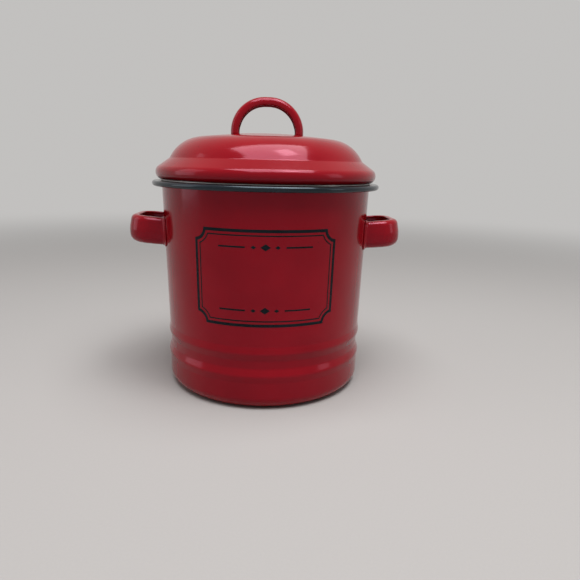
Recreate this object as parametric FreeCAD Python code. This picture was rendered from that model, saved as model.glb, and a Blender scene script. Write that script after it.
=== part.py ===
import FreeCAD
import Part

import math
import os

from FreeCAD import Vector

# Enamelled steel grease container: a beaded pot with two side handles, a strainer that hangs in its mouth,
# and a domed lid with a strap loop.
# Millimetres, +Z up. The origin is the centre of the flat base, -Y is the front, and the two side handles
# stand at -X and +X. One STEP file per separate piece.

# ---- Pot: one drawn cup, tapered, with two stiffening beads round its foot -------------------------------
rim_height = 126.6        # table to the top of the rim
mouth_diameter = 128.4    # over the wall, just under the rim
waist_diameter = 123.4    # over the wall, just above the upper bead
groove_diameter = 122.0   # over the wall between the two beads
foot_diameter = 123.6     # over the wall, below the lower bead
pot_sheet = 1.0           # steel with its enamel on both sides
base_corner = 7.5         # outer radius between base and wall
bead_height = 0.75        # each bead's crest over the wall beside it
bead_half_width = 4.2
lower_bead_height = 20.7  # base to crest
upper_bead_height = 33.9
bead_round = 4.0
flange_round = 1.5        # under the flange, where the wall turns out

# ---- Rim: a black hoop crimped over the pot's turned-out flange ------------------------------------------
rim_reach = 5.8           # rim edge outside the wall under it
rim_sheet = 1.1
rim_round = 1.6           # outer edge of the hoop
rim_tuck = 3.9            # how far the hoop's lower leg reaches in under the flange

# ---- Straps: the three handles are bent from the same kind of crowned channel ----------------------------
strap_sheet = 1.2
strap_depth = 5.5         # crown to edges
strap_crown = 1.0         # bulge of the strap's face
strap_edge_round = 3.2
strap_face_round = 16.0

# ---- Side handles ----------------------------------------------------------------------------------------
handle_drop = 30.5        # rim top to the middle of the strap, at the wall
handle_rise = 4.5         # degrees that the grip stands up from level
handle_low_round = 5.0    # the strap's lower edge is rounder than its upper one
handle_width = 16.8       # strap width, which stands upright
handle_span = 40.0        # front to back, over both legs
handle_reach = 21.0       # wall to the outside of the grip
handle_bend = 13.0        # outer radius of its two corners
pad_sheet = 0.9           # the welded feet that spread on the wall
pad_overlap = 1.6         # foot outside the leg
pad_margin = 0.8          # foot above and below the strap
pad_round = 3.0

# ---- Strainer: a flanged ring that hangs in the mouth, with a round of wire mesh clamped under it ---------
strainer_sheet = 0.6
strainer_seat = 1.4       # width of the flange that lies on the rim
strainer_clearance = 0.9  # cup to the narrowest wall that it passes, from the mouth to the ledge
strainer_depth = 22.0     # rim top to the underside of the ledge
strainer_round = 1.0      # under the flange
strainer_corner = 2.2     # wall to ledge
ledge_width = 6.5         # ledge that the mesh bears against, from the outside of the cup
mesh_sheet = 1.2          # thickness of the woven and flattened wire
wire_width = 0.9
mesh_pitch = 4.0
ring_sheet = 0.8          # the ring that clamps the mesh to the ledge
mesh_clearance = 0.4      # mesh edge to the inside of the ring's upstand

# ---- Lid: one pressed dome whose brim bulges, curls under and ends in a flat lip --------------------------
lid_sheet = 1.0
brim_setback = 2.3        # brim inside the edge of the rim
brim_height = 12.5        # lip to the crease between brim and dome
shoulder_width = 8.4      # crease to the outside of the brim
shoulder_drop = 5.9       # fall of the shoulder over that width
brim_upper_round = 4.2
brim_lower_round = 4.0
lip_gap = 0.3             # inner edge of the lip to the collar that passes through it
crease_round = 2.0
dome_height = 15.6        # crease to the crown
crown_radius = 300.0
crown_slope = 8.0         # degrees, where the crown meets the knuckle
side_slope = 60.0         # degrees, where the dome meets the crease
knuckle_radius = 22.0

# ---- Locating collar: an L-section ring welded inside the brim, which drops into the strainer --------------
collar_sheet = 0.8
collar_clearance = 0.6    # collar to the inside of the strainer
collar_drop = 8.0         # below the lip
collar_flange = 3.0       # width of the flange that lies on the lip

# ---- Loop on the lid --------------------------------------------------------------------------------------
loop_width = 13.0         # strap width, front to back
loop_span = 45.2          # left to right, over both legs
loop_bend = 21.2          # outer radius of its two shoulders
loop_leg = 1.4            # straight leg between the dome and the bend

# ---- Worked out from the sizes above ----------------------------------------------------------------------
mouth_radius = mouth_diameter / 2
mouth_bore = mouth_radius - pot_sheet
rim_radius = mouth_radius + rim_reach
flange_underside = rim_height - rim_sheet - pot_sheet
upper_wall_start = upper_bead_height + bead_half_width
handle_height = rim_height - handle_drop


def wall_radius(height):
    """Outer radius of the tapered wall between the upper bead and the rim."""
    share = (height - upper_wall_start) / (flange_underside - upper_wall_start)
    return waist_diameter / 2 + share * (mouth_diameter - waist_diameter) / 2


ledge_underside = rim_height - strainer_depth
narrowest_wall = min(mouth_radius, wall_radius(ledge_underside))
cup_radius = narrowest_wall - pot_sheet - strainer_clearance
cup_bore = cup_radius - strainer_sheet
mesh_underside = ledge_underside - mesh_sheet
ledge_bore = cup_radius - ledge_width
ring_radius = cup_radius - strainer_corner
mesh_radius = ring_radius - ring_sheet - mesh_clearance

lip_height = rim_height + strainer_sheet
collar_seat = lip_height + lid_sheet
collar_radius = cup_bore - collar_clearance
lip_bore = collar_radius + lip_gap
brim_radius = rim_radius - brim_setback
crease_radius = brim_radius - shoulder_width
crease_height = lip_height + brim_height
crown_height = crease_height + dome_height
loop_radius = loop_span / 2

ORIGIN = Vector(0, 0, 0)
UP = Vector(0, 0, 1)
NUDGE = 5.0               # how far a cutting body runs past what it cuts
TINY = 1e-6               # shorter than this is no length at all


# ---- Outlines ---------------------------------------------------------------------------------------------
def in_section(x, z):
    """A point of an upright profile that is turned round the pot's axis."""
    return Vector(x, 0, z)


def across_strap(y, z):
    """A point of a strap's cross-section, which faces along X."""
    return Vector(0, y, z)


def rounded_path(corners, place=in_section):
    """An open wire through (first, second, radius) corners, each one rounded by its own radius.

    A radius that the two runs beside it have no room for is cut down to what they have.
    """
    points = [place(first, second) for first, second, _ in corners]
    last = len(points) - 1
    half_angles = [0.0] * (last + 1)
    tangents = [0.0] * (last + 1)
    for i in range(1, last):
        half_angles[i] = (points[i - 1] - points[i]).getAngle(points[i + 1] - points[i]) / 2
        tangents[i] = corners[i][2] / math.tan(half_angles[i])
    room = [1.0] * (last + 1)
    for i in range(last):
        wanted = tangents[i] + tangents[i + 1]
        run = (points[i + 1] - points[i]).Length
        if wanted > run:
            room[i] = min(room[i], run / wanted)
            room[i + 1] = min(room[i + 1], run / wanted)
    edges = []
    here = points[0]
    for i in range(1, last):
        back = (points[i - 1] - points[i]).normalize()
        ahead = (points[i + 1] - points[i]).normalize()
        tangent = tangents[i] * room[i]
        radius = corners[i][2] * room[i]
        start = points[i] + back * tangent
        end = points[i] + ahead * tangent
        if (start - here).Length > TINY:
            edges.append(Part.LineSegment(here, start).toShape())
        if radius > TINY:
            depth = radius / math.sin(half_angles[i]) - radius
            middle = points[i] + (back + ahead).normalize() * depth
            edges.append(Part.Arc(start, middle, end).toShape())
        here = end
    if (points[last] - here).Length > TINY:
        edges.append(Part.LineSegment(here, points[last]).toShape())
    return Part.Wire(edges)


def sheet_section(corners, thickness, place=in_section):
    """The face of a bent sheet: the outer skin's path and its offset. Positive thickness lies to the left."""
    return rounded_path(corners, place).makeOffset2D(thickness, 0, True, True, False)


def turned(face):
    """The solid that a profile makes when it is turned round the pot's axis."""
    return face.revolve(ORIGIN, UP, 360)


# ---- Pot --------------------------------------------------------------------------------------------------
def make_pot_shell():
    foot = foot_diameter / 2
    groove = groove_diameter / 2
    waist = waist_diameter / 2
    outer_skin = [
        (0, 0, 0),
        (foot, 0, base_corner),
        (foot, lower_bead_height - bead_half_width, bead_round),
        (foot + bead_height, lower_bead_height, bead_round),
        (groove, lower_bead_height + bead_half_width, bead_round),
        (groove, upper_bead_height - bead_half_width, bead_round),
        (waist + bead_height, upper_bead_height, bead_round),
        (waist, upper_wall_start, bead_round),
        (mouth_radius, flange_underside, flange_round),
        (rim_radius - rim_sheet, flange_underside, 0),
    ]
    return turned(sheet_section(outer_skin, pot_sheet))


def make_rim_hoop():
    """The hoop's section is a flattened ring, slotted from inside to take the pot's flange."""
    lower_leg = rim_radius - rim_tuck
    hoop_underside = flange_underside - rim_sheet
    outline = rounded_path([
        (mouth_bore, rim_height, 0),
        (rim_radius, rim_height, rim_round),
        (rim_radius, hoop_underside, rim_round),
        (lower_leg, hoop_underside, 0),
    ])
    closing = rounded_path([
        (lower_leg, hoop_underside, 0),
        (lower_leg, flange_underside, 0),
        (rim_radius - rim_sheet, flange_underside, 0),
        (rim_radius - rim_sheet, rim_height - rim_sheet, 0),
        (mouth_bore, rim_height - rim_sheet, 0),
        (mouth_bore, rim_height, 0),
    ])
    return turned(Part.Face(Part.Wire(outline.Edges + closing.Edges)))


# ---- Straps -----------------------------------------------------------------------------------------------
def strap_section(width, low_round=strap_edge_round):
    """A crowned channel. Its crown lies at y = 0 and its two edges point to +Y."""
    half = width / 2
    outer_skin = [
        (strap_depth, half, 0),
        (strap_crown, half, strap_edge_round),
        (0, 0, strap_face_round),
        (strap_crown, -half, low_round),
        (strap_depth, -half, 0),
    ]
    return sheet_section(outer_skin, -strap_sheet, across_strap)


def bent_strap(section, leg, bend_radius, grip):
    """A U of strap: a leg along +X, a quarter bend, the grip along +Y, a quarter bend, and a leg back."""
    pieces = []
    face = section.copy()
    heading = Vector(1, 0, 0)
    skin = Vector(0, 0, 0)
    for run, bend in ((leg, bend_radius), (grip, bend_radius), (leg, 0)):
        if run > 0:
            pieces.append(face.extrude(heading * run))
            face.translate(heading * run)
            skin = skin + heading * run
        if bend > 0:
            centre = skin + UP.cross(heading) * bend
            pieces.append(face.revolve(centre, UP, 90))
            face.rotate(centre, UP, 90)
            skin = centre + heading * bend
            heading = UP.cross(heading)
    return pieces[0].fuse(pieces[1:]).removeSplitter()


# ---- Side handles -----------------------------------------------------------------------------------------
def wall_plug(growth):
    """The pot's wall beside the handle as a solid cone, grown outwards by a sheet that lies on it."""
    low = handle_height - handle_width
    high = handle_height + handle_width
    return Part.makeCone(wall_radius(low) + growth, wall_radius(high) + growth, high - low, Vector(0, 0, low))


def make_foot(outer_y):
    """A welded foot: a rounded patch of sheet that follows the wall under one leg."""
    width = strap_depth + pad_overlap
    height = handle_width + 2 * pad_margin
    low = handle_height - height / 2
    patch = Part.makeBox(rim_radius, width, height, Vector(0, outer_y - pad_overlap, low))
    along_x = [e for e in patch.Edges if e.BoundBox.XLength > rim_radius / 2]
    patch = patch.makeFillet(pad_round, along_x)
    return patch.common(wall_plug(pad_sheet))


def make_right_handle():
    """A U of strap whose legs start well inside the wall, rise a little and are cut off at the wall."""
    wall = wall_radius(handle_height)
    leg = wall / 2 + handle_reach - handle_bend
    section = strap_section(handle_width, handle_low_round)
    strap = bent_strap(section, leg, handle_bend, handle_span - 2 * handle_bend)
    strap.translate(Vector(wall / 2, -handle_span / 2, handle_height))
    strap.rotate(Vector(wall, 0, handle_height), Vector(0, 1, 0), -handle_rise)
    near_foot = make_foot(-handle_span / 2)
    far_foot = near_foot.mirror(ORIGIN, Vector(0, 1, 0))
    return strap.fuse([near_foot, far_foot]).cut(wall_plug(0)).removeSplitter()


def make_left_handle():
    return make_right_handle().mirror(ORIGIN, Vector(1, 0, 0))


# ---- Strainer ---------------------------------------------------------------------------------------------
def make_strainer_cup():
    outer_skin = [
        (mouth_bore + strainer_seat, rim_height, 0),
        (cup_radius, rim_height, strainer_round),
        (cup_radius, ledge_underside, strainer_corner),
        (ledge_bore, ledge_underside, 0),
    ]
    return turned(sheet_section(outer_skin, -strainer_sheet))


def square_hole(x, y, side):
    """One mesh opening as a closed outline on the mesh's underside."""
    half = side / 2
    corners = [(x - half, y - half), (x + half, y - half), (x + half, y + half), (x - half, y + half)]
    points = [Vector(cx, cy, mesh_underside) for cx, cy in corners]
    return Part.makePolygon(points + points[:1])


def make_strainer_mesh():
    """A round of flattened wire mesh. Its edge is left whole where a full opening has no room."""
    opening = mesh_pitch - wire_width
    farthest = mesh_radius - wire_width - opening / math.sqrt(2)
    rows = int(farthest / mesh_pitch)
    outline = Part.Wire(Part.makeCircle(mesh_radius, UP * mesh_underside))
    holes = []
    for row in range(-rows, rows + 1):
        for column in range(-rows, rows + 1):
            x = column * mesh_pitch
            y = row * mesh_pitch
            if math.hypot(x, y) <= farthest:
                holes.append(square_hole(x, y, opening))
    return Part.Face([outline] + holes).extrude(UP * mesh_sheet)


def make_strainer_ring():
    outer_skin = [
        (ring_radius, ledge_underside, 0),
        (ring_radius, mesh_underside - ring_sheet, 0),
        (ledge_bore, mesh_underside - ring_sheet, 0),
    ]
    return turned(sheet_section(outer_skin, -ring_sheet))


# ---- Lid --------------------------------------------------------------------------------------------------
def dome_corners():
    """Corners of the dome's outer skin: the crown's and the knuckle's, where their tangent lines meet."""
    crown_corner = crown_radius * math.tan(math.radians(crown_slope / 2))
    crown_fall = math.tan(math.radians(crown_slope))
    side_fall = math.tan(math.radians(side_slope))
    rise = crown_height - crease_height
    knuckle_corner = (side_fall * crease_radius - rise - crown_fall * crown_corner) / (side_fall - crown_fall)
    knuckle_height = crease_height + side_fall * (crease_radius - knuckle_corner)
    return [
        (0, crown_height, 0),
        (crown_corner, crown_height, crown_radius),
        (knuckle_corner, knuckle_height, knuckle_radius),
    ]


def make_lid_shell():
    outer_skin = dome_corners() + [
        (crease_radius, crease_height, crease_round),
        (brim_radius, crease_height - shoulder_drop, brim_upper_round),
        (brim_radius, lip_height, brim_lower_round),
        (lip_bore, lip_height, 0),
    ]
    return turned(sheet_section(outer_skin, -lid_sheet))


def make_lid_collar():
    outer_skin = [
        (collar_radius + collar_flange, collar_seat, 0),
        (collar_radius, collar_seat, 0),
        (collar_radius, lip_height - collar_drop, 0),
    ]
    return turned(sheet_section(outer_skin, -collar_sheet))


def dome_plug():
    """Everything under the dome's outer skin down to the crease, as one solid."""
    skin = rounded_path(dome_corners() + [(crease_radius, crease_height, 0)])
    closing = rounded_path([
        (crease_radius, crease_height, 0),
        (0, crease_height, 0),
        (0, crown_height, 0),
    ])
    return turned(Part.Face(Part.Wire(skin.Edges + closing.Edges)))


def make_lid_handle():
    """A rounded loop whose legs run down to the dome and end on it."""
    crown_dip = crown_radius - math.sqrt(crown_radius ** 2 - loop_radius ** 2)
    leg = loop_leg + NUDGE
    strap = bent_strap(strap_section(loop_width), leg, loop_bend, loop_span - 2 * loop_bend)
    strap.rotate(ORIGIN, Vector(0, 1, 0), -90)
    strap.rotate(ORIGIN, UP, -90)
    strap.translate(Vector(-loop_radius, 0, crown_height - crown_dip - NUDGE))
    return strap.cut(dome_plug())


PIECES = {
    "pot_shell": make_pot_shell,
    "rim_hoop": make_rim_hoop,
    "left_handle": make_left_handle,
    "right_handle": make_right_handle,
    "strainer_cup": make_strainer_cup,
    "strainer_mesh": make_strainer_mesh,
    "strainer_ring": make_strainer_ring,
    "lid_shell": make_lid_shell,
    "lid_collar": make_lid_collar,
    "lid_handle": make_lid_handle,
}

os.makedirs("parts", exist_ok=True)
for name, make in PIECES.items():
    make().exportStep(f"parts/{name}.step")
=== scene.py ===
# %% [markdown]
# # An enamelled grease container
# The real object is a small set of pressed and bent steel sheets under fired enamel: a beaded pot with a
# black rim, two strap handles, a domed lid with a strap loop, and a steel strainer that hangs in the mouth.
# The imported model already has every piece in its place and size. This script keeps that frame and gives each
# piece the smooth skin and the finish that it has in real life.

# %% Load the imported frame
import math

import bmesh
import bpy
from mathutils import Matrix, Vector


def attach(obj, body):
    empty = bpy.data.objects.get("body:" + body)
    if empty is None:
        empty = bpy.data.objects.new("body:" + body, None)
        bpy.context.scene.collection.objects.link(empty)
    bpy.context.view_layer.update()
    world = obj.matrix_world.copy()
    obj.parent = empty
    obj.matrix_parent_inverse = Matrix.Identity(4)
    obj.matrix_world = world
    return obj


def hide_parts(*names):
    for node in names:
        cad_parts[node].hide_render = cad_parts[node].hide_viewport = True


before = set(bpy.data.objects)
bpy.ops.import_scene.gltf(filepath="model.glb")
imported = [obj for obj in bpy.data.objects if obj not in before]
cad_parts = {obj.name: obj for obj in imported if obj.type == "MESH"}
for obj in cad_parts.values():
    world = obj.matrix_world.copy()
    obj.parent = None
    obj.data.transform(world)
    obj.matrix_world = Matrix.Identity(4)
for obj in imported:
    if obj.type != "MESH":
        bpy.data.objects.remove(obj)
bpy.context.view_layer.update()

MM = 0.001

# %% [markdown]
# ## The camera comes first
# Proportions can only be judged from the right place, so the camera is set before anything else. It stands
# about a third of a metre in front of the pot, level with the foot of the lid's dome, and looks down. A wide
# lens this close makes the pot's base look much narrower than its mouth. It is turned by three angles: pitch
# (down), yaw (to the right) and a slight roll, as a camera in the hand has.

# %% Camera
CAMERA_DISTANCE = 335.1 * MM
CAMERA_HEIGHT = 138.0 * MM
CAMERA_PITCH = 0.2386
CAMERA_YAW = 0.0492
CAMERA_ROLL = 0.0246
IMAGE_SIDE = 580
FOCAL_LENGTH_IN_PIXELS = 520
SENSOR_WIDTH = 36.0


def make_camera():
    forward = Vector((
        math.sin(CAMERA_YAW) * math.cos(CAMERA_PITCH),
        math.cos(CAMERA_YAW) * math.cos(CAMERA_PITCH),
        -math.sin(CAMERA_PITCH),
    ))
    right = Vector((math.cos(CAMERA_YAW), -math.sin(CAMERA_YAW), 0))
    up = right.cross(forward)
    roll = Matrix.Rotation(-CAMERA_ROLL, 3, forward)
    right = roll @ right
    up = roll @ up
    lens = bpy.data.cameras.new("camera")
    lens.sensor_width = SENSOR_WIDTH
    lens.lens = FOCAL_LENGTH_IN_PIXELS * SENSOR_WIDTH / IMAGE_SIDE
    lens.clip_start = 0.01
    lens.clip_end = 50
    camera = bpy.data.objects.new("camera", lens)
    turn = Matrix((right, up, -forward)).transposed().to_4x4()
    camera.matrix_world = Matrix.Translation((0, -CAMERA_DISTANCE, CAMERA_HEIGHT)) @ turn
    bpy.context.scene.collection.objects.link(camera)
    bpy.context.scene.camera = camera
    return camera


camera = make_camera()
print("lens in mm:", round(camera.data.lens, 1))

# %% [markdown]
# ## Small helpers for materials
# A node tree is easier to read when each line says which node it makes and what feeds it. `add` makes a node
# and sets its inputs; an input that is given a socket is linked, and any other value is set on it. Every
# pattern reads Object coordinates, so it stays on the surface however the piece is moved or seen.

# %% Node helpers


def add(tree, kind, inputs=None, **settings):
    """Makes a node. Keys of inputs are socket names or numbers; a value that is a socket is linked."""
    node = tree.nodes.new(kind)
    for name, value in settings.items():
        setattr(node, name, value)
    for key, value in (inputs or {}).items():
        socket = node.inputs[key]
        if isinstance(value, bpy.types.NodeSocket):
            tree.links.new(value, socket)
        else:
            socket.default_value = value
    return node


def maths(tree, operation, first, second=0.0, clamp=False):
    node = add(tree, "ShaderNodeMath", {0: first, 1: second}, operation=operation)
    node.use_clamp = clamp
    return node.outputs[0]


def noise(tree, coordinates, scale, detail=2.0, roughness=0.5):
    return add(tree, "ShaderNodeTexNoise", {
        "Vector": coordinates, "Scale": scale, "Detail": detail, "Roughness": roughness,
    }).outputs["Fac"]


def stretched(tree, coordinates, scale):
    """Coordinates multiplied axis by axis, so that a round pattern becomes streaks."""
    return add(tree, "ShaderNodeVectorMath", {0: coordinates, 1: scale}, operation="MULTIPLY").outputs[0]


def remap(tree, value, low, high, to_low, to_high):
    return add(tree, "ShaderNodeMapRange", {
        "Value": value, "From Min": low, "From Max": high, "To Min": to_low, "To Max": to_high,
    }).outputs["Result"]


def mix_colours(tree, share, first, second):
    node = add(tree, "ShaderNodeMix", {"Factor": share}, data_type="RGBA")
    for socket, value in ((node.inputs[6], first), (node.inputs[7], second)):
        if isinstance(value, bpy.types.NodeSocket):
            tree.links.new(value, socket)
        else:
            socket.default_value = value
    return node.outputs[2]


def new_material(name):
    """An empty material with its output and main shader. Returns (material, tree, shader)."""
    material = bpy.data.materials.new(name)
    material.use_nodes = True
    tree = material.node_tree
    tree.nodes.clear()
    shader = add(tree, "ShaderNodeBsdfPrincipled")
    output = add(tree, "ShaderNodeOutputMaterial")
    tree.links.new(shader.outputs[0], output.inputs["Surface"])
    return material, tree, shader


def object_coordinates(tree):
    return add(tree, "ShaderNodeTexCoord").outputs["Object"]


# %% [markdown]
# ## Fired enamel
# Enamel is coloured glass melted onto steel. Close up it is never quite flat: it has slow waves where it
# ran in the kiln, a fine orange peel, and here and there a pinhole or a dark speck. The colour is deeper
# where the coat is thick and browner where it thins out. One function makes all three enamels, so that they
# differ only in colour and in how much they wander. A fired skin has two kinds of gloss at once: a wide soft
# haze, which takes some of the colour under it, and on top a thin sharp mirror. The shader's own gloss makes
# the haze, with a tint, and a weak clear coat makes the mirror.

# %% Enamel
WAVE_SCALE = 38.0            # per metre: slow waves about 25 mm long
WAVE_SPREAD = (0.35, 0.65)   # the noise from which the coat is thick, and to which it is thin
PEEL_SCALE = 420.0           # orange peel about 2.5 mm long
PEEL_DEPTH = 0.006 * MM
SPECK_SCALE = 130.0
SPECK_EDGE = (0.030, 0.050)  # where a speck starts to fade and where it is gone, in cells
SPECK_CHOICE_SCALE = 300.0
SPECK_CHOICE = 0.66          # only cells with more noise than this hold a speck
RED_THICK = (0.240, 0.0012, 0.0050, 1)
RED_THIN = (0.275, 0.0018, 0.0064, 1)
RED_SPECK = (0.06, 0.004, 0.006, 1)
BLACK_THICK = (0.004, 0.005, 0.007, 1)
BLACK_THIN = (0.012, 0.014, 0.020, 1)
WHITE_THICK = (0.80, 0.79, 0.75, 1)
WHITE_THIN = (0.70, 0.69, 0.64, 1)
WHITE_SPECK = (0.05, 0.05, 0.06, 1)
RED_HAZE = (1.0, 0.34, 0.52, 1)
BLACK_HAZE = (0.62, 0.86, 1.0, 1)
WHITE_HAZE = (1.0, 1.0, 1.0, 1)
HAZE_ROUGHNESS = 0.14
HAZE_WANDER = 0.1            # share by which the orange peel changes the roughness
HAZE_LEVEL = 0.4
MIRROR_WEIGHT = 0.08
MIRROR_ROUGHNESS = 0.03
GLASS_IOR = 1.5
RED_WAVES = 0.10 * MM
BLACK_WAVES = 0.08 * MM
WHITE_WAVES = 0.10 * MM


def enamel(name, thick, thin, speck, haze, waves):
    material, tree, shader = new_material(name)
    place = object_coordinates(tree)
    cloud = noise(tree, place, WAVE_SCALE, detail=3.0)
    colour = mix_colours(tree, remap(tree, cloud, *WAVE_SPREAD, 0.0, 1.0), thick, thin)
    cells = add(tree, "ShaderNodeTexVoronoi", {"Vector": place, "Scale": SPECK_SCALE})
    dots = remap(tree, cells.outputs["Distance"], *SPECK_EDGE, 1.0, 0.0)
    lot = noise(tree, cells.outputs["Position"], SPECK_CHOICE_SCALE, 0.0)
    chosen = maths(tree, "GREATER_THAN", lot, SPECK_CHOICE)
    colour = mix_colours(tree, maths(tree, "MULTIPLY", dots, chosen, clamp=True), colour, speck)
    tree.links.new(colour, shader.inputs["Base Color"])
    peel = noise(tree, place, PEEL_SCALE, detail=1.0)
    smooth = HAZE_ROUGHNESS * (1 - HAZE_WANDER)
    rough = HAZE_ROUGHNESS * (1 + HAZE_WANDER)
    haze_roughness = remap(tree, peel, 0.3, 0.7, smooth, rough)
    tree.links.new(haze_roughness, shader.inputs["Roughness"])
    slow = add(tree, "ShaderNodeBump", {"Height": cloud, "Strength": 1.0, "Distance": waves})
    fine = add(tree, "ShaderNodeBump", {
        "Height": peel, "Strength": 1.0, "Distance": PEEL_DEPTH, "Normal": slow.outputs[0],
    })
    tree.links.new(fine.outputs[0], shader.inputs["Normal"])
    tree.links.new(fine.outputs[0], shader.inputs["Coat Normal"])
    shader.inputs["IOR"].default_value = GLASS_IOR
    shader.inputs["Specular IOR Level"].default_value = HAZE_LEVEL
    shader.inputs["Specular Tint"].default_value = haze
    shader.inputs["Coat Weight"].default_value = MIRROR_WEIGHT
    shader.inputs["Coat Roughness"].default_value = MIRROR_ROUGHNESS
    shader.inputs["Coat IOR"].default_value = GLASS_IOR
    return material


red_enamel = enamel("red_enamel", RED_THICK, RED_THIN, RED_SPECK, RED_HAZE, RED_WAVES)
black_enamel = enamel("black_enamel", BLACK_THICK, BLACK_THIN, BLACK_THIN, BLACK_HAZE, BLACK_WAVES)
white_enamel = enamel("white_enamel", WHITE_THICK, WHITE_THIN, WHITE_SPECK, WHITE_HAZE, WHITE_WAVES)
print("enamels made:", [m.name for m in (red_enamel, black_enamel, white_enamel)])

# %% [markdown]
# ## Stainless steel
# The strainer is bare stainless sheet that was spun and brushed, so its scratches run round it. A scratch
# pattern that follows a circle needs the angle and the radius of each point: the noise is fed with height and
# radius only, which are the same all the way round, and a little of the angle to break the lines up.

# %% Steel
STEEL = (0.62, 0.62, 0.60, 1)
STEEL_DULL = (0.46, 0.46, 0.45, 1)
STEEL_ROUGHNESS = (0.22, 0.40)
SCRATCH_SCALE = 4000.0       # per metre, across the scratches
SCRATCH_BREAKS = 6.0         # per radian, along them
SCRATCH_DEPTH = 0.01 * MM
WIRE_GRAIN = 900.0


def steel(name, brushed):
    material, tree, shader = new_material(name)
    place = object_coordinates(tree)
    parts = add(tree, "ShaderNodeSeparateXYZ", {0: place})
    x, y, z = parts.outputs
    squares = maths(tree, "ADD", maths(tree, "MULTIPLY", x, x), maths(tree, "MULTIPLY", y, y))
    radius = maths(tree, "SQRT", squares)
    angle = maths(tree, "ARCTAN2", y, x)
    if brushed:
        across = add(tree, "ShaderNodeCombineXYZ", {
            0: maths(tree, "MULTIPLY", radius, SCRATCH_SCALE),
            1: maths(tree, "MULTIPLY", angle, SCRATCH_BREAKS),
            2: maths(tree, "MULTIPLY", z, SCRATCH_SCALE),
        }).outputs[0]
    else:
        across = stretched(tree, place, (WIRE_GRAIN, WIRE_GRAIN, WIRE_GRAIN))
    scratches = noise(tree, across, 1.0, detail=3.0, roughness=0.7)
    colour = mix_colours(tree, scratches, STEEL_DULL, STEEL)
    tree.links.new(colour, shader.inputs["Base Color"])
    roughness = remap(tree, scratches, 0.3, 0.7, *STEEL_ROUGHNESS)
    tree.links.new(roughness, shader.inputs["Roughness"])
    bump = add(tree, "ShaderNodeBump", {"Height": scratches, "Strength": 1.0, "Distance": SCRATCH_DEPTH})
    tree.links.new(bump.outputs[0], shader.inputs["Normal"])
    shader.inputs["Metallic"].default_value = 1.0
    return material


stainless_steel = steel("stainless_steel", True)
wire_steel = steel("wire_steel", False)

# %% [markdown]
# ## Turning a profile
# Everything round on the container is a sheet that was pressed or spun, so it is the same outline all the way
# round. The outline is written as a few corners, each with a rounding radius. `rounded` turns them into
# points on arcs, `sheet_outline` gives them the thickness of the sheet, and `turn` sweeps the closed outline
# round the axis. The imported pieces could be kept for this, but a glossy surface shows every facet, and a
# turned mesh can be as fine as the gloss needs.

# %% Profile helpers
ARC_STEP = math.radians(6)
TURN_SEGMENTS = 256


def rounded(corners):
    """Points of an open outline through (radius, height, rounding) corners, in millimetres."""
    spots = [Vector((r, z)) for r, z, _ in corners]
    last = len(spots) - 1
    halves = [0.0] * (last + 1)
    reach = [0.0] * (last + 1)
    for i in range(1, last):
        back = spots[i - 1] - spots[i]
        ahead = spots[i + 1] - spots[i]
        halves[i] = back.angle(ahead) / 2
        reach[i] = corners[i][2] / math.tan(halves[i])
    room = [1.0] * (last + 1)
    for i in range(last):
        wanted = reach[i] + reach[i + 1]
        run = (spots[i + 1] - spots[i]).length
        if wanted > run:
            room[i] = min(room[i], run / wanted)
            room[i + 1] = min(room[i + 1], run / wanted)
    points = [spots[0]]
    for i in range(1, last):
        radius = corners[i][2] * room[i]
        if radius == 0:
            points.append(spots[i])
            continue
        back = (spots[i - 1] - spots[i]).normalized()
        ahead = (spots[i + 1] - spots[i]).normalized()
        centre = spots[i] + (back + ahead).normalized() * radius / math.sin(halves[i])
        start = spots[i] + back * reach[i] * room[i] - centre
        sweep = start.angle_signed(spots[i] + ahead * reach[i] * room[i] - centre)
        steps = max(2, math.ceil(abs(sweep) / ARC_STEP))
        for step in range(steps + 1):
            turn_by = -sweep * step / steps
            points.append(centre + Matrix.Rotation(turn_by, 2) @ start)
    points.append(spots[last])
    return [p for i, p in enumerate(points) if i == 0 or (p - points[i - 1]).length > 1e-4]


def sheet_outline(corners, thickness):
    """A closed outline: the outer skin, then the inner one. Positive thickness lies to the left."""
    outer = rounded(corners)
    inner = []
    for i, point in enumerate(outer):
        before = outer[max(i - 1, 0)]
        after = outer[min(i + 1, len(outer) - 1)]
        along = ((point - before).normalized() + (after - point).normalized()).normalized()
        inner.append(point + Vector((-along.y, along.x)) * thickness)
    for skin in (outer, inner):
        for end in (0, -1):
            if abs(outer[end].x) < 1e-6:
                skin[end].x = 0.0
    return outer + inner[::-1]


def turn(name, outline):
    """Turns a closed outline, in millimetres, round the upright axis into a mesh object in metres."""
    mesh = bmesh.new()
    rings = []
    for point in outline:
        if point.x < 1e-6:
            rings.append([mesh.verts.new((0, 0, point.y * MM))])
            continue
        ring = []
        for step in range(TURN_SEGMENTS):
            angle = math.tau * step / TURN_SEGMENTS
            ring.append(mesh.verts.new((
                point.x * MM * math.cos(angle), point.x * MM * math.sin(angle), point.y * MM,
            )))
        rings.append(ring)
    for ring, following in zip(rings, rings[1:] + rings[:1]):
        if len(ring) == 1 and len(following) == 1:
            continue
        for step in range(TURN_SEGMENTS):
            quad = [
                ring[step % len(ring)], ring[(step + 1) % len(ring)],
                following[(step + 1) % len(following)], following[step % len(following)],
            ]
            mesh.faces.new(list(dict.fromkeys(quad)))
    bmesh.ops.recalc_face_normals(mesh, faces=mesh.faces)
    data = bpy.data.meshes.new(name)
    mesh.to_mesh(data)
    mesh.free()
    data.shade_smooth()
    piece = bpy.data.objects.new(name, data)
    bpy.context.scene.collection.objects.link(piece)
    return piece


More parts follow.
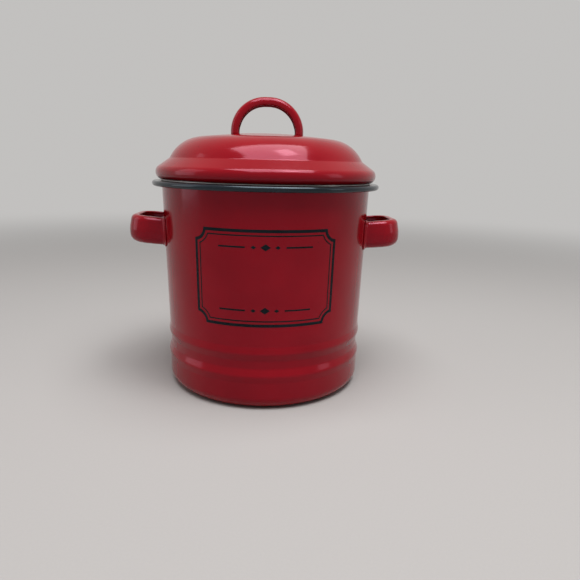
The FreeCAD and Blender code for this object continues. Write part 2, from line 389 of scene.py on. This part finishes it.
def finish_piece(piece, body, slot, nodes, *materials):
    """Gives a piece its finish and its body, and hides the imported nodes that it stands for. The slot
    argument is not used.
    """
    piece.data.materials.clear()
    for material in materials:
        piece.data.materials.append(material)
    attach(piece, body)
    if nodes:
        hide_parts(*nodes)
    print(piece.name, "faces:", len(piece.data.polygons))
    return piece


# %% [markdown]
# ## The pot
# The pot is one deep-drawn cup. Its wall widens a little towards the mouth, and two ridges round the foot
# stiffen it. At the top the sheet turns out into a flange that the black hoop is folded over. Its outside is
# red, and its inside has the pale enamel that such ware usually has.

# %% Pot
RIM_HEIGHT = 126.6
MOUTH_RADIUS = 64.2
WAIST_RADIUS = 61.7
GROOVE_RADIUS = 61.0
FOOT_RADIUS = 61.8
FOOT_ROUND = 7.5
THROAT_ROUND = 1.5           # where the wall turns out into the flange
POT_SHEET = 1.0
BEAD_HEIGHT = 0.75
BEAD_HALF_WIDTH = 4.2
BEAD_ROUND = 4.0
LOWER_BEAD = 20.7
UPPER_BEAD = 33.9
RIM_RADIUS = 70.0
RIM_SHEET = 1.1
RIM_ROUND = 1.6
RIM_TUCK = 3.9
TUCK_ROUND = 0.3
FLANGE_UNDERSIDE = RIM_HEIGHT - RIM_SHEET - POT_SHEET
UPPER_WALL_START = UPPER_BEAD + BEAD_HALF_WIDTH


def wall_radius(height):
    """Outside of the wall between the upper bead and the rim."""
    share = (height - UPPER_WALL_START) / (FLANGE_UNDERSIDE - UPPER_WALL_START)
    return WAIST_RADIUS + share * (MOUTH_RADIUS - WAIST_RADIUS)


def paint_inside(piece, slot_number, is_inside):
    """Gives the second finish to the faces that is_inside picks from their centre and normal."""
    for face in piece.data.polygons:
        if is_inside(face.center, face.normal):
            face.material_index = slot_number


pot = turn("pot", sheet_outline([
    (0, 0, 0),
    (FOOT_RADIUS, 0, FOOT_ROUND),
    (FOOT_RADIUS, LOWER_BEAD - BEAD_HALF_WIDTH, BEAD_ROUND),
    (FOOT_RADIUS + BEAD_HEIGHT, LOWER_BEAD, BEAD_ROUND),
    (GROOVE_RADIUS, LOWER_BEAD + BEAD_HALF_WIDTH, BEAD_ROUND),
    (GROOVE_RADIUS, UPPER_BEAD - BEAD_HALF_WIDTH, BEAD_ROUND),
    (WAIST_RADIUS + BEAD_HEIGHT, UPPER_BEAD, BEAD_ROUND),
    (WAIST_RADIUS, UPPER_WALL_START, BEAD_ROUND),
    (MOUTH_RADIUS, FLANGE_UNDERSIDE, THROAT_ROUND),
    (RIM_RADIUS - RIM_SHEET, FLANGE_UNDERSIDE, 0),
], POT_SHEET))
finish_piece(pot, "pot", "red_enamel", ["pot_shell"], red_enamel, white_enamel)
paint_inside(pot, 1, lambda centre, normal: (
    centre.z > 0.5 * MM and (normal.x * centre.x + normal.y * centre.y < -1e-9 or normal.z > 0.9)
))

# %% [markdown]
# ## The label frame
# The front carries a decoration in black enamel, put on as a transfer and fired. Here it is a blank label:
# a bold line and a fine line round an empty field, with scooped corners, and small rows of dashes and
# lozenges. Each shape is drawn flat, in millimetres across and up. Then every point is wrapped round the
# tapered wall and lifted by a few hundredths, because fired colour does stand proud. The sheet has no
# thickness yet: solidify moves its second skin along the normals, and a new mesh has none until
# normal_update is called, so both skins lie in one place.

# %% Label frame
LABEL_HEIGHT = 77.0          # its middle over the table
LABEL_HALF_WIDTH = 41.0
LABEL_HALF_HEIGHT = 27.0
LABEL_SCOOP = 6.0            # radius of the scooped corners
BOLD_LINE = 1.7
LINE_GAP = 1.3
FINE_LINE = 0.7
SCOOP_STEPS = 10
RUN_STEPS = 60
PRINT_LIFT = 0.05
PRINT_THICKNESS = 0.08       # not reached yet, as said above
ROW_HEIGHT = 17.5            # of the small rows, over and under the label's middle
DASH_START = 11.0
DASH_LENGTH = 15.0
DASH_HALF_HEIGHT = 0.45
LOZENGES = ((-6.5, 1.5, 1.0), (0.0, 2.8, 1.9), (6.5, 1.5, 1.0))


def print_point(mesh, across, up):
    """A vertex for a flat point, wrapped round the tapered wall with the label's middle to the front."""
    height = LABEL_HEIGHT + up
    reach = wall_radius(height) + PRINT_LIFT
    angle = across / wall_radius(LABEL_HEIGHT) - math.pi / 2
    return mesh.verts.new(Vector((reach * math.cos(angle), reach * math.sin(angle), height)) * MM)


def scooped_outline(inset):
    """The label's outline moved inwards, as a closed list of points, with the same count for any inset."""
    radius = LABEL_SCOOP + inset
    slip = math.asin(inset / radius)
    arcs = []
    for across, up in ((1, 1), (-1, 1), (-1, -1), (1, -1)):
        arc = []
        for step in range(SCOOP_STEPS + 1):
            angle = slip + (math.pi / 2 - 2 * slip) * step / SCOOP_STEPS
            arc.append(Vector((
                across * (LABEL_HALF_WIDTH - radius * math.sin(angle)),
                up * (LABEL_HALF_HEIGHT - radius * math.cos(angle)),
            )))
        arcs.append(arc if across == up else arc[::-1])
    outline = []
    for arc, following in zip(arcs, arcs[1:] + arcs[:1]):
        outline += arc
        outline += [arc[-1].lerp(following[0], step / RUN_STEPS) for step in range(1, RUN_STEPS)]
    return outline


def draw_line(mesh, inset, width):
    outer = [print_point(mesh, *point) for point in scooped_outline(inset)]
    inner = [print_point(mesh, *point) for point in scooped_outline(inset + width)]
    for here in range(len(outer)):
        ahead = (here + 1) % len(outer)
        mesh.faces.new((outer[here], outer[ahead], inner[ahead], inner[here]))


def draw_dash(mesh, start, up):
    steps = math.ceil(DASH_LENGTH)
    posts = []
    for step in range(steps + 1):
        across = start + DASH_LENGTH * step / steps
        posts.append([print_point(mesh, across, up + side * DASH_HALF_HEIGHT) for side in (-1, 1)])
    for (low, high), (next_low, next_high) in zip(posts, posts[1:]):
        mesh.faces.new((low, next_low, next_high, high))


def draw_lozenge(mesh, across, up, half_width, half_height):
    middle = print_point(mesh, across, up)
    tips = [print_point(mesh, across + half_width * x, up + half_height * y)
            for x, y in ((1, 0), (0, 1), (-1, 0), (0, -1))]
    for tip, following in zip(tips, tips[1:] + tips[:1]):
        mesh.faces.new((middle, tip, following))


def make_label():
    mesh = bmesh.new()
    draw_line(mesh, 0.0, BOLD_LINE)
    draw_line(mesh, BOLD_LINE + LINE_GAP, FINE_LINE)
    for up in (-ROW_HEIGHT, ROW_HEIGHT):
        draw_dash(mesh, DASH_START, up)
        draw_dash(mesh, -DASH_START - DASH_LENGTH, up)
        for across, half_width, half_height in LOZENGES:
            draw_lozenge(mesh, across, up, half_width, half_height)
    bmesh.ops.solidify(mesh, geom=mesh.faces[:], thickness=PRINT_THICKNESS * MM)
    data = bpy.data.meshes.new("label_frame")
    mesh.to_mesh(data)
    mesh.free()
    piece = bpy.data.objects.new("label_frame", data)
    bpy.context.scene.collection.objects.link(piece)
    return piece


label = make_label()
finish_piece(label, "pot", "black_enamel", [], black_enamel)

# %% [markdown]
# ## The rim hoop
# A strip of steel is folded over the flange and fired black. Only its rounded outer edge and its flat top
# show, and the gloss draws one thin bright line along it.

# %% Rim hoop
HOOP_UNDERSIDE = FLANGE_UNDERSIDE - RIM_SHEET
MOUTH_BORE = MOUTH_RADIUS - POT_SHEET
FLANGE_EDGE = RIM_RADIUS - RIM_SHEET

hoop_outline = rounded([
    (MOUTH_BORE, RIM_HEIGHT, 0),
    (RIM_RADIUS, RIM_HEIGHT, RIM_ROUND),
    (RIM_RADIUS, HOOP_UNDERSIDE, RIM_ROUND),
    (RIM_RADIUS - RIM_TUCK, HOOP_UNDERSIDE, TUCK_ROUND),
    (RIM_RADIUS - RIM_TUCK, FLANGE_UNDERSIDE, 0),
    (FLANGE_EDGE, FLANGE_UNDERSIDE, 0),
    (FLANGE_EDGE, RIM_HEIGHT - RIM_SHEET, 0),
    (MOUTH_BORE, RIM_HEIGHT - RIM_SHEET, 0),
])
rim_hoop = turn("rim", hoop_outline)
finish_piece(rim_hoop, "pot", "black_enamel", ["rim_hoop"], black_enamel)

# %% [markdown]
# ## The lid
# The lid is pressed from one sheet. A shallow crown falls through a knuckle into a steep side, a crease runs
# round the foot of the dome, and outside it the brim bulges like a tyre and curls back under to a flat lip.
# A ring welded inside the brim drops into the strainer's mouth and keeps the lid from sliding off.

# %% Lid
LID_SHEET = 1.0
STRAINER_SHEET = 0.6
LIP_HEIGHT = RIM_HEIGHT + STRAINER_SHEET
LIP_BORE = 60.8
BRIM_RADIUS = 67.7
BRIM_ROUND = 4.0
SHOULDER_ROUND = 4.2
CREASE_RADIUS = 59.3
CREASE_ROUND = 2.0
CREASE_HEIGHT = LIP_HEIGHT + 12.5
SHOULDER_DROP = 5.9
CROWN_HEIGHT = CREASE_HEIGHT + 15.6
CROWN_RADIUS = 300.0
CROWN_SLOPE = math.radians(8.0)
SIDE_SLOPE = math.radians(60.0)
KNUCKLE_RADIUS = 22.0


def dome_corners():
    """The crown's and the knuckle's corners, where the lines that touch their arcs meet."""
    crown_corner = CROWN_RADIUS * math.tan(CROWN_SLOPE / 2)
    crown_fall = math.tan(CROWN_SLOPE)
    side_fall = math.tan(SIDE_SLOPE)
    rise = CROWN_HEIGHT - CREASE_HEIGHT
    knuckle = (side_fall * CREASE_RADIUS - rise - crown_fall * crown_corner) / (side_fall - crown_fall)
    return [
        (0, CROWN_HEIGHT, 0),
        (crown_corner, CROWN_HEIGHT, CROWN_RADIUS),
        (knuckle, CREASE_HEIGHT + side_fall * (CREASE_RADIUS - knuckle), KNUCKLE_RADIUS),
    ]


lid = turn("lid", sheet_outline(dome_corners() + [
    (CREASE_RADIUS, CREASE_HEIGHT, CREASE_ROUND),
    (BRIM_RADIUS, CREASE_HEIGHT - SHOULDER_DROP, SHOULDER_ROUND),
    (BRIM_RADIUS, LIP_HEIGHT, BRIM_ROUND),
    (LIP_BORE, LIP_HEIGHT, 0),
], -LID_SHEET))
finish_piece(lid, "lid", "red_enamel", ["lid_shell"], red_enamel, white_enamel)
paint_inside(lid, 1, lambda centre, normal: normal.z < -0.1 and centre.xy.length < LIP_BORE * MM)

# %% Locating ring under the lid
COLLAR_SEAT = LIP_HEIGHT + LID_SHEET
COLLAR_RADIUS = 60.5
COLLAR_SHEET = 0.8
COLLAR_FLANGE = 3.0
COLLAR_DROP = 8.0
COLLAR_ROUND = 0.3

collar = turn("lid_ring", sheet_outline([
    (COLLAR_RADIUS + COLLAR_FLANGE, COLLAR_SEAT, 0),
    (COLLAR_RADIUS, COLLAR_SEAT, COLLAR_ROUND),
    (COLLAR_RADIUS, LIP_HEIGHT - COLLAR_DROP, 0),
], -COLLAR_SHEET))
finish_piece(collar, "lid", "red_enamel", ["lid_collar"], red_enamel)

# %% [markdown]
# ## The strap handles
# All three handles are crowned straps, bent into a U and welded on. Under a coat of enamel no edge stays
# sharp, and each weld is a small soft fillet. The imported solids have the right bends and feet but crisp
# edges. So a copy of each is remeshed into small even squares and relaxed, which rounds every edge by a few
# tenths of a millimetre, as the glaze does. Near the weld it is relaxed much longer, so that leg and foot run
# into each other, but the points that touch the pot or the lid are held where they are.

# %% Straps
STRAP_VOXEL = 0.45 * MM
RELAX_ROUNDS = 8
WELD_ROUNDS = 40
WELD_HELD = 0.5 * MM
WELD_FULL = 1.2 * MM
WELD_END = 5.5 * MM


def above_wall(point):
    return point.xy.length - wall_radius(point.z / MM) * MM


def above_dome(point):
    """Height over the crown's sphere, which is all that the loop stands on."""
    middle = Vector((0, 0, (CROWN_HEIGHT - CROWN_RADIUS) * MM))
    return (point - middle).length - CROWN_RADIUS * MM


def weld_share(height):
    """How much a point at this height over its seat takes part in the long relaxing."""
    rising = (height - WELD_HELD) / (WELD_FULL - WELD_HELD)
    falling = (WELD_END - height) / (WELD_END - WELD_FULL)
    return max(0.0, min(1.0, rising, falling))


def relax(piece, rounds, group=""):
    modifier = piece.modifiers.new("relax", "SMOOTH")
    modifier.iterations = rounds
    modifier.factor = 0.5
    modifier.vertex_group = group


def settle(piece):
    """Makes the result of a piece's modifiers its mesh."""
    shape = bpy.data.meshes.new_from_object(piece.evaluated_get(bpy.context.evaluated_depsgraph_get()))
    piece.modifiers.clear()
    piece.data = shape
    shape.name = piece.name
    shape.shade_smooth()


def glazed_copy(node, name, height_over_seat):
    """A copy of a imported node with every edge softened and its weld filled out."""
    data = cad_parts[node].data.copy()
    data.name = name
    mesh = bmesh.new()
    mesh.from_mesh(data)
    bmesh.ops.remove_doubles(mesh, verts=mesh.verts, dist=0.001 * MM)
    bmesh.ops.recalc_face_normals(mesh, faces=mesh.faces)
    mesh.to_mesh(data)
    mesh.free()
    draft = bpy.data.objects.new(name, data)
    bpy.context.scene.collection.objects.link(draft)
    remesh = draft.modifiers.new("even squares", "REMESH")
    remesh.mode = "VOXEL"
    remesh.voxel_size = STRAP_VOXEL
    relax(draft, RELAX_ROUNDS)
    settle(draft)
    weld = draft.vertex_groups.new(name="weld")
    for vertex in draft.data.vertices:
        weld.add([vertex.index], weld_share(height_over_seat(vertex.co)), "REPLACE")
    relax(draft, WELD_ROUNDS, "weld")
    settle(draft)
    draft.vertex_groups.clear()
    return draft


for node, body, height_over_seat in (
    ("left_handle", "pot", above_wall),
    ("right_handle", "pot", above_wall),
    ("lid_handle", "lid", above_dome),
):
    piece = glazed_copy(node, node.replace("_handle", "_strap"), height_over_seat)
    finish_piece(piece, body, "red_enamel", [node], red_enamel)

# %% [markdown]
# ## The strainer
# A flanged cup hangs in the mouth by its rim. Its floor is only a narrow ledge; the wire mesh lies under it
# and a ring is clamped over the mesh's edge. Both are turned like the pot.

# %% Strainer cup and clamp ring
CUP_RADIUS = 61.7
CUP_FLANGE_LAP = 1.4         # how far its flange lies on the rim, past the mouth's bore
CUP_NECK_ROUND = 1.0
CUP_FOOT_ROUND = 2.2
LEDGE_UNDERSIDE = 104.6
LEDGE_BORE = 55.2
MESH_UNDERSIDE = 103.4
CLAMP_SHEET = 0.8
CLAMP_RADIUS = 59.5
CLAMP_ROUND = 0.7

cup = turn("strainer", sheet_outline([
    (MOUTH_BORE + CUP_FLANGE_LAP, RIM_HEIGHT, 0),
    (CUP_RADIUS, RIM_HEIGHT, CUP_NECK_ROUND),
    (CUP_RADIUS, LEDGE_UNDERSIDE, CUP_FOOT_ROUND),
    (LEDGE_BORE, LEDGE_UNDERSIDE, 0),
], -STRAINER_SHEET))
finish_piece(cup, "strainer", "stainless_steel", ["strainer_cup"], stainless_steel)

clamp = turn("clamp_ring", sheet_outline([
    (CLAMP_RADIUS, LEDGE_UNDERSIDE, 0),
    (CLAMP_RADIUS, MESH_UNDERSIDE - CLAMP_SHEET, CLAMP_ROUND),
    (LEDGE_BORE, MESH_UNDERSIDE - CLAMP_SHEET, 0),
], -CLAMP_SHEET))
finish_piece(clamp, "strainer", "stainless_steel", ["strainer_ring"], stainless_steel)

# %% [markdown]
# ## The woven wire
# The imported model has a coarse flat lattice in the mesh's place. Real wire cloth is woven: each wire goes
# over one crossing wire and under the next, so it is a wave, and its neighbour is the same wave shifted by
# one crossing. Geometry Nodes suit this well. A row of points carries one straight wire each, a formula lifts
# every point of every wire, what lies outside the round is cut away, and the lines get their thickness last.
# The second set of wires is the first, turned by a quarter and lifted the other way.

# %% Woven wire
CLOTH_RADIUS = 58.3 * MM
CLOTH_LEVEL = (MESH_UNDERSIDE + LEDGE_UNDERSIDE) / 2 * MM
WIRE_PITCH = 2.5 * MM
WIRE_RADIUS = 0.27 * MM
STEPS_PER_PITCH = 4
WIRE_SIDES = 5


def weave_tree():
    tree = bpy.data.node_groups.new("woven_wire", "GeometryNodeTree")
    for name in ("Radius", "Pitch", "Wire Radius", "Level"):
        tree.interface.new_socket(name, in_out="INPUT", socket_type="NodeSocketFloat")
    tree.interface.new_socket("Steps", in_out="INPUT", socket_type="NodeSocketInt")
    tree.interface.new_socket("Wire", in_out="INPUT", socket_type="NodeSocketMaterial")
    tree.interface.new_socket("Geometry", in_out="OUTPUT", socket_type="NodeSocketGeometry")
    given = add(tree, "NodeGroupInput").outputs
    rows = maths(tree, "FLOOR", maths(tree, "DIVIDE", given["Radius"], given["Pitch"]))
    half = maths(tree, "MULTIPLY", rows, given["Pitch"])
    pitches = maths(tree, "MULTIPLY", rows, 2.0)
    count = maths(tree, "ADD", pitches, 1.0)
    samples = maths(tree, "ADD", maths(tree, "MULTIPLY", pitches, given["Steps"]), 1.0)
    minus_half = maths(tree, "MULTIPLY", half, -1.0)
    line = add(tree, "GeometryNodeCurvePrimitiveLine", {
        "Start": add(tree, "ShaderNodeCombineXYZ", {1: minus_half}).outputs[0],
        "End": add(tree, "ShaderNodeCombineXYZ", {1: half}).outputs[0],
    })
    wire = add(tree, "GeometryNodeResampleCurve", {"Curve": line.outputs[0], "Count": samples})
    row = add(tree, "GeometryNodeMeshLine", {
        "Count": count,
        "Start Location": add(tree, "ShaderNodeCombineXYZ", {0: minus_half}).outputs[0],
        "Offset": add(tree, "ShaderNodeCombineXYZ", {0: given["Pitch"]}).outputs[0],
    })
    copies = add(tree, "GeometryNodeInstanceOnPoints", {
        "Points": row.outputs[0], "Instance": wire.outputs[0],
    })
    wires = add(tree, "GeometryNodeRealizeInstances", {0: copies.outputs[0]}).outputs[0]
    place = add(tree, "GeometryNodeInputPosition").outputs[0]
    x, y, _ = add(tree, "ShaderNodeSeparateXYZ", {0: place}).outputs
    phase = maths(tree, "MULTIPLY", maths(tree, "DIVIDE", maths(tree, "ADD", x, y), given["Pitch"]), math.pi)
    lift = maths(tree, "MULTIPLY", maths(tree, "COSINE", phase), given["Wire Radius"])
    from_axis = add(tree, "ShaderNodeVectorMath", {0: place}, operation="LENGTH").outputs["Value"]
    outside = maths(tree, "GREATER_THAN", from_axis, given["Radius"])
    sets = []
    for sign, quarter in ((1.0, 0.0), (-1.0, math.pi / 2)):
        raised = add(tree, "GeometryNodeSetPosition", {
            "Geometry": wires,
            "Offset": add(tree, "ShaderNodeCombineXYZ", {2: maths(tree, "MULTIPLY", lift, sign)}).outputs[0],
        })
        turned = add(tree, "GeometryNodeTransform", {
            "Geometry": raised.outputs[0], "Rotation": (0.0, 0.0, quarter),
        })
        sets.append(turned.outputs[0])
    joined = add(tree, "GeometryNodeJoinGeometry")
    for piece in sets:
        tree.links.new(piece, joined.inputs[0])
    trimmed = add(tree, "GeometryNodeDeleteGeometry", {"Geometry": joined.outputs[0], "Selection": outside})
    thread = add(tree, "GeometryNodeCurvePrimitiveCircle", {
        "Resolution": WIRE_SIDES, "Radius": given["Wire Radius"],
    })
    tubes = add(tree, "GeometryNodeCurveToMesh", {
        "Curve": trimmed.outputs[0], "Profile Curve": thread.outputs[0], "Fill Caps": True,
    })
    level = add(tree, "GeometryNodeTransform", {
        "Geometry": tubes.outputs[0],
        "Translation": add(tree, "ShaderNodeCombineXYZ", {2: given["Level"]}).outputs[0],
    })
    real = add(tree, "GeometryNodeRealizeInstances", {0: level.outputs[0]})
    coated = add(tree, "GeometryNodeSetMaterial", {"Geometry": real.outputs[0], "Material": given["Wire"]})
    result = add(tree, "NodeGroupOutput")
    tree.links.new(coated.outputs[0], result.inputs[0])
    return tree


def grow(name, tree, values):
    """Runs a Geometry Nodes tree once and keeps its result as a plain mesh object."""
    seed_mesh = bpy.data.meshes.new(name + "_seed")
    draft = bpy.data.objects.new(name, seed_mesh)
    bpy.context.scene.collection.objects.link(draft)
    modifier = draft.modifiers.new(name, "NODES")
    modifier.node_group = tree
    for socket in tree.interface.items_tree:
        if socket.item_type == "SOCKET" and socket.in_out == "INPUT" and socket.name in values:
            modifier[socket.identifier] = values[socket.name]
    settle(draft)
    return draft


wire_cloth = grow("wire_cloth", weave_tree(), {
    "Radius": CLOTH_RADIUS, "Pitch": WIRE_PITCH, "Wire Radius": WIRE_RADIUS, "Level": CLOTH_LEVEL,
    "Steps": STEPS_PER_PITCH, "Wire": wire_steel,
})
finish_piece(wire_cloth, "strainer", "wire_mesh", ["strainer_mesh"], wire_steel)

# %% [markdown]
# ## Floor, light and world
# Soft lamps light the pot and draw its highlights: a broad one overhead, a little to the front, for the haze
# on the dome and the bright line along the rim, a small one beside it for the sharper glint, a tall one on
# the left for the soft stripe down the pot, and a weak one on the right. The floor is pale and plain and only
# takes the shadow. Far from the pot it fades into the colour of the room, for the eye and in the gloss alike,
# so that no hard horizon cuts the picture in two. The world does the same: what is seen of it is the room's
# pale colour, and what it adds to the light is weaker.

# %% Floor
FLOOR_SIDE = 12.0
FLOOR_COLOUR = (0.42, 0.413, 0.40, 1)
FLOOR_GRAIN = (0.44, 0.433, 0.42, 1)
FLOOR_GRAIN_SCALE = 900.0
FLOOR_ROUGHNESS = 0.8
ROOM_COLOUR = (0.54, 0.53, 0.52, 1)
FADE_START = 0.22
FADE_END = 1.3


def seen_directly(tree):
    """1 for the eye's own rays and for what gloss and glass show, 0 for the light that falls on things."""
    rays = add(tree, "ShaderNodeLightPath").outputs
    bent = maths(tree, "MAXIMUM", rays["Is Glossy Ray"], rays["Is Transmission Ray"])
    return maths(tree, "MAXIMUM", rays["Is Camera Ray"], bent)


def make_floor():
    material, tree, shader = new_material("floor")
    place = object_coordinates(tree)
    grain = noise(tree, place, FLOOR_GRAIN_SCALE, detail=2.0)
    tree.links.new(mix_colours(tree, grain, FLOOR_COLOUR, FLOOR_GRAIN), shader.inputs["Base Color"])
    shader.inputs["Roughness"].default_value = FLOOR_ROUGHNESS
    shader.inputs["Specular IOR Level"].default_value = 0.0
    away = add(tree, "ShaderNodeVectorMath", {0: place}, operation="LENGTH").outputs["Value"]
    fade = add(tree, "ShaderNodeMapRange", {
        "Value": away, "From Min": FADE_START, "From Max": FADE_END,
    }, interpolation_type="SMOOTHERSTEP").outputs["Result"]
    room = add(tree, "ShaderNodeEmission", {"Color": ROOM_COLOUR})
    share = maths(tree, "MULTIPLY", fade, seen_directly(tree))
    mixed = add(tree, "ShaderNodeMixShader", {0: share, 1: shader.outputs[0], 2: room.outputs[0]})
    output = next(node for node in tree.nodes if node.bl_idname == "ShaderNodeOutputMaterial")
    tree.links.new(mixed.outputs[0], output.inputs["Surface"])
    mesh = bpy.data.meshes.new("floor")
    half = FLOOR_SIDE / 2
    corners = [(-half, -half, 0), (half, -half, 0), (half, half, 0), (-half, half, 0)]
    mesh.from_pydata(corners, [], [(0, 1, 2, 3)])
    mesh.materials.append(material)
    floor = bpy.data.objects.new("floor", mesh)
    bpy.context.scene.collection.objects.link(floor)


make_floor()

# %% Lights
POT_MIDDLE = (0, 0, 0.09)
LAMPS = (                    # name, place and size in metres, power in watts, colour
    ("overhead", (0.08, -0.24, 1.05), (0.95, 0.80), 14.5, (1.0, 0.97, 0.98)),
    ("window", (0.24, -0.26, 1.00), (0.22, 0.26), 1.4, (1.0, 1.0, 1.0)),
    ("left_panel", (-0.80, -0.06, 0.35), (0.40, 0.80), 1.1, (1.0, 0.94, 0.97)),
    ("right_panel", (0.85, -0.30, 0.35), (0.25, 0.5), 0.5, (1.0, 0.96, 0.94)),
)


def panel(name, place, size, power, colour):
    """A soft lamp that faces the pot. The eye doesn't see it, but gloss does."""
    light = bpy.data.lights.new(name, "AREA")
    light.shape = "RECTANGLE"
    light.size, light.size_y = size
    light.energy = power
    light.color = colour
    lamp = bpy.data.objects.new(name, light)
    lamp.location = place
    lamp.rotation_euler = (Vector(POT_MIDDLE) - Vector(place)).to_track_quat("-Z", "Y").to_euler()
    lamp.visible_camera = False
    bpy.context.scene.collection.objects.link(lamp)


for lamp_values in LAMPS:
    panel(*lamp_values)

# %% World
ROOM_LIGHT = (0.15, 0.148, 0.145, 1)


def make_world():
    world = bpy.data.worlds.new("room")
    world.use_nodes = True
    tree = world.node_tree
    tree.nodes.clear()
    room = add(tree, "ShaderNodeBackground", {"Color": ROOM_COLOUR, "Strength": 1.0})
    light = add(tree, "ShaderNodeBackground", {"Color": ROOM_LIGHT, "Strength": 1.0})
    mixed = add(tree, "ShaderNodeMixShader", {
        0: seen_directly(tree), 1: light.outputs[0], 2: room.outputs[0],
    })
    output = add(tree, "ShaderNodeOutputWorld")
    tree.links.new(mixed.outputs[0], output.inputs["Surface"])
    bpy.context.scene.world = world


make_world()
bpy.context.scene.view_settings.view_transform = "Standard"
